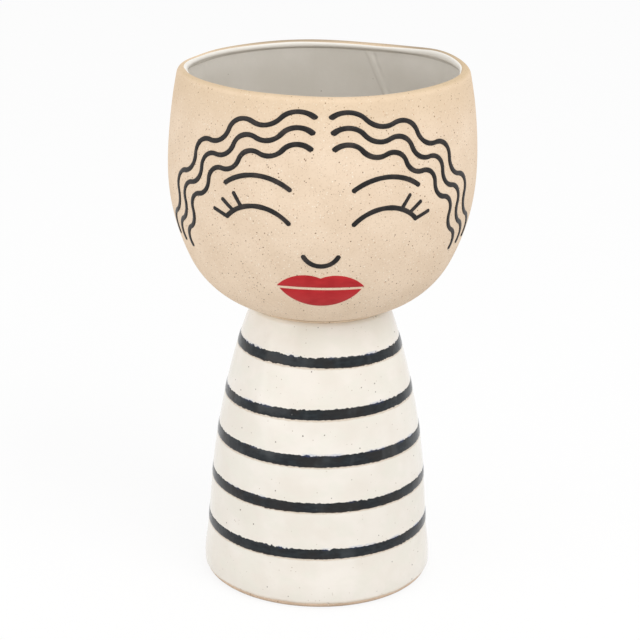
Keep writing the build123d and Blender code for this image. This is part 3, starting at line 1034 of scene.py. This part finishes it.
def evenly(path, spacing):
    """Spots along a path, evenly spaced."""
    lengths = [0.0]
    for begin, end in zip(path, path[1:]):
        lengths.append(lengths[-1] + abs(end - begin))
    count = ceil(lengths[-1] / spacing)
    spots, leg = [], 0
    for k in range(count + 1):
        want = lengths[-1] * k / count
        while leg < len(path) - 2 and lengths[leg + 1] < want:
            leg += 1
        share = (want - lengths[leg]) / (lengths[leg + 1] - lengths[leg])
        spots.append(path[leg] + share * (path[leg + 1] - path[leg]))
    return spots


print("an arc has", ARC_STEPS + 1, "points before it is spaced evenly")

# %% [markdown]
# ## Trailed lines
# Slip from a trailer leaves a low rounded ridge with soft ends, wider where the hand was slow. So a line is
# a row of sections along its path, each with its own half width, and every section is a flattened ring that
# starts just below the clay.

# %% Trail a line of slip
LINE_WIDTH, LINE_HEIGHT = 2.2, 0.4  # mm
LINE_STEP = 0.5  # mm between sections of a line
LINE_STRAYS = 0.12  # share by which a line's width strays
SECTION = 12  # corners of a section
SHOULDERS = 0.65  # power that gives a section full shoulders, where 1 gives an ellipse


def trailed(path, width):
    """A line as (spot, half width, direction across) sections, with round ends and an uneven width."""
    first = (path[0] - path[1]) / abs(path[0] - path[1])
    last = (path[-1] - path[-2]) / abs(path[-1] - path[-2])
    half = width / 2
    spots = evenly([path[0] + first * half, *path, path[-1] + last * half], LINE_STEP)
    total = LINE_STEP * (len(spots) - 1)
    sections = []
    for k, spot in enumerate(spots):
        along = spots[min(k + 1, len(spots) - 1)] - spots[max(k - 1, 0)]
        from_end = min(1.0, LINE_STEP * k / half, (total - LINE_STEP * k) / half)
        uneven = 1 + LINE_STRAYS * noise.noise(Vector((spot.real, spot.imag, 0)) / 4)
        round_end = sqrt(max(0.0, 1 - (1 - from_end) ** 2))
        sections.append((spot, half * round_end * uneven, 1j * along / abs(along)))
    return sections


def ridge_section(half):
    """The corners of a section, as mm to the side of the line and mm above the clay."""
    top = LINE_HEIGHT * sqrt(min(1.0, half / (LINE_WIDTH / 2)))
    corners = []
    for k in range(SECTION):
        angle = 2 * pi * k / SECTION
        above = sin(angle) > 0
        reach = abs(cos(angle)) ** (SHOULDERS if above else 1.0)
        corners.append((half * copysign(reach, cos(angle)), sin(angle) * (top if above else SUNK / 2)))
    return corners


def ridge_rings(work, sections, plane_turn):
    """Rings of vertices around a line, one for each section, with a tip at both ends."""
    rings = []
    for number, (spot, half, across) in enumerate(sections):
        corners = ridge_section(half) if 0 < number < len(sections) - 1 else [(0.0, 0.0)]
        spots = [on_wall(spot + across * side, plane_turn, lift) for side, lift in corners]
        rings.append([work.verts.new(place) for place in spots])
    return rings


def draw(name, node, finish, lines, plane_turn=0.0):
    """One piece of the drawing, made of one or more lines."""

    def drawn(work):
        for sections in lines:
            rings = ridge_rings(work, sections, plane_turn)
            for first, second in zip(rings, rings[1:]):
                bridge(work, first, second)

    return mesh_piece(name, [node], finish, drawn)


print("a line has a section every", LINE_STEP, "mm")

# %% [markdown]
# ## Black slip
# The slip is black with a brown cast and is a little worn where it is thin: soft noise fades it, and
# the clay's own grain shows through as bump.

# %% Mix the black
line_slip = Finish("drawn_line")
worn = line_slip.cloud(5.0, 4.0).rise(0.42, 0.78)
ink = line_slip.mix(worn * 0.55, colour(26, 24, 23), colour(74, 66, 62))
crumbs = line_slip.specks(1.6, 0.3, 0.35)
ink = line_slip.mix(crumbs * 0.4, ink, colour(140, 120, 102))
line_slip.surface(
    Base_Color=ink,
    Roughness=worn * 0.25 + 0.38,
    Specular_IOR_Level=0.25,
    Normal=line_slip.bump(line_slip.cloud(0.9, 3.0), 0.1, 0.5),
)

# %% [markdown]
# ## Red slip
# The red of the lips is denser than the black and lies smoother. Two close reds, stretched sideways like
# strokes of a brush, keep it from looking printed, and a few dark crumbs of clay sit in it.

# %% Mix the red
lip_slip = Finish("lip_red")
dense = lip_slip.cloud(7.0, 3.0, (1, 1, 2)).rise(0.3, 0.75)
red = lip_slip.mix(dense, colour(190, 36, 41), colour(174, 26, 33))
crumbs = lip_slip.specks(2.6, 0.32, 0.3)
red = lip_slip.mix(crumbs * 0.6, red, colour(96, 28, 30))
lip_slip.surface(
    Base_Color=red,
    Roughness=dense * 0.12 + 0.42,
    Specular_IOR_Level=0.25,
    Normal=lip_slip.bump(lip_slip.cloud(0.9, 3.0), 0.08, 0.5),
)

# %% [markdown]
# ## Nose and mouth
# The features stand on simple proportions, chained upwards from the mouth. The nose is a cup. Lips are
# lines too, whose width is the height of the lip at each spot, so they swell and taper by themselves.

# %% Draw the nose and the mouth
MOUTH = STAND_TOP + 30.0
MOUTH_WIDTH, UPPER_LIP, LOWER_LIP, PARTING = 38.0, 3.5, 9.0, 1.2
BOW_RISE = 4.8  # from the parting line to the dip of the upper lip
NOSE, NOSE_WIDTH, NOSE_CUP = MOUTH + 16.0, 15.0, 4.5


def draw_black(name, node, lines, plane_turn=0.0):
    return draw(name, node, line_slip.material, lines, plane_turn)


def draw_red(name, node, lines):
    return draw(name, node, lip_slip.material, lines)


def level_arc(height, width, rise):
    return arched(complex(-width / 2, height), complex(width / 2, height), rise)


def lip_sections(edge, parting):
    """A lip between an edge, as a path, and the level parting line."""
    spots = evenly(edge, LINE_STEP)
    return [(complex(s.real, (s.imag + parting) / 2), abs(s.imag - parting) / 2, 1j) for s in spots]


nose = level_arc(NOSE, NOSE_WIDTH, -NOSE_CUP)
draw_black("nose_cup", "nose_line", [trailed(nose, LINE_WIDTH)])

upper = MOUTH + PARTING / 2
left_bump = arched(complex(-MOUTH_WIDTH / 2, upper), complex(0, upper + BOW_RISE), UPPER_LIP)
right_bump = [complex(-spot.real, spot.imag) for spot in left_bump[::-1]]
draw_red("red_upper_lip", "upper_lip", [lip_sections(left_bump + right_bump[1:], upper)])
lower = MOUTH - PARTING / 2
crescent = level_arc(lower, MOUTH_WIDTH - 2 * PARTING, -LOWER_LIP)
draw_red("red_lower_lip", "lower_lip", [lip_sections(crescent, lower)])

# %% [markdown]
# ## Eyes and brows
# A closed lid with three lashes and a brow above it, the same on both sides. Each eye is drawn flat on a
# plane of its own that faces out from the bowl, so it isn't stretched where the wall turns away.

# %% Draw the eyes and the brows
EYES, EYE_TURN, EYE_WIDTH, LID_ARCH = NOSE + 15.0, radians(23.6), 29.0, 6.5
LASH_LENGTH, LASH_WIDTH, LASH_PITCH = 7.0, 1.8, 5.0
LASH_RISES = [radians(20), radians(38), radians(56)]
BROWS, BROW_WIDTH, BROW_ARCH = EYES + 15.0, 30.0, 5.0
SIDES = {"left": -1, "right": 1}  # as the viewer sees them

for name, side in SIDES.items():
    lid = level_arc(EYES, EYE_WIDTH, LID_ARCH)
    lashes = []
    roots = evenly(lid[::-side], LASH_PITCH)
    for root, rise in zip(roots, LASH_RISES):
        tip = root + LASH_LENGTH * complex(side * cos(rise), sin(rise))
        lashes.append(trailed([root, tip], LASH_WIDTH))
    eye = [trailed(lid, LINE_WIDTH), *lashes]
    draw_black(f"{name}_closed_eye", f"{name}_eye", eye, side * EYE_TURN)
    brow = [trailed(level_arc(BROWS, BROW_WIDTH, BROW_ARCH), LINE_WIDTH)]
    draw_black(f"{name}_arched_brow", f"{name}_brow", brow, side * EYE_TURN)

# %% [markdown]
# ## Wavy hair
# Three strands fall over each temple. A strand follows a wide circle from the parting, and swings to and
# fro across it: each half wave is an arc that leaves in the heading in which the last one arrived.

# %% Draw the hair
STRANDS, STRAND_PITCH, HAIR_GAP = 3, 6.8, 6.0
HAIR_SWEEP, HALF_WAVES, WAVE_LEAN = radians(80), 9, radians(45)
TEMPLE, PARTING_TURN = radians(42), radians(5)


def across_temple(turn):
    """Where an angle from the front falls on the flat drawing of a temple."""
    return BELLY * sin(turn - TEMPLE)


def strand(number, side):
    """The path of one strand."""
    middle = complex(across_temple(PARTING_TURN), MOUTH)
    brow_end = complex(across_temple(EYE_TURN + asin(BROW_WIDTH / 2 / BELLY)), BROWS)
    sweep = abs(brow_end - middle) + HAIR_GAP + number * STRAND_PITCH
    turns = [HAIR_SWEEP * k / HALF_WAVES for k in range(HALF_WAVES + 1)]
    spots = [middle + sweep * complex(sin(turn), cos(turn)) for turn in turns]
    heading = cmath.exp(1j * WAVE_LEAN)
    path = [spots[0]]
    for begin, end in zip(spots, spots[1:]):
        points, heading = swing(begin, end, heading)
        path += points[1:]
    return [complex(side * spot.real, spot.imag) for spot in path]


for name, side in SIDES.items():
    lines = [trailed(strand(number, side), LINE_WIDTH) for number in range(STRANDS)]
    draw_black(f"{name}_wavy_hair", f"{name}_hair", lines, side * TEMPLE)
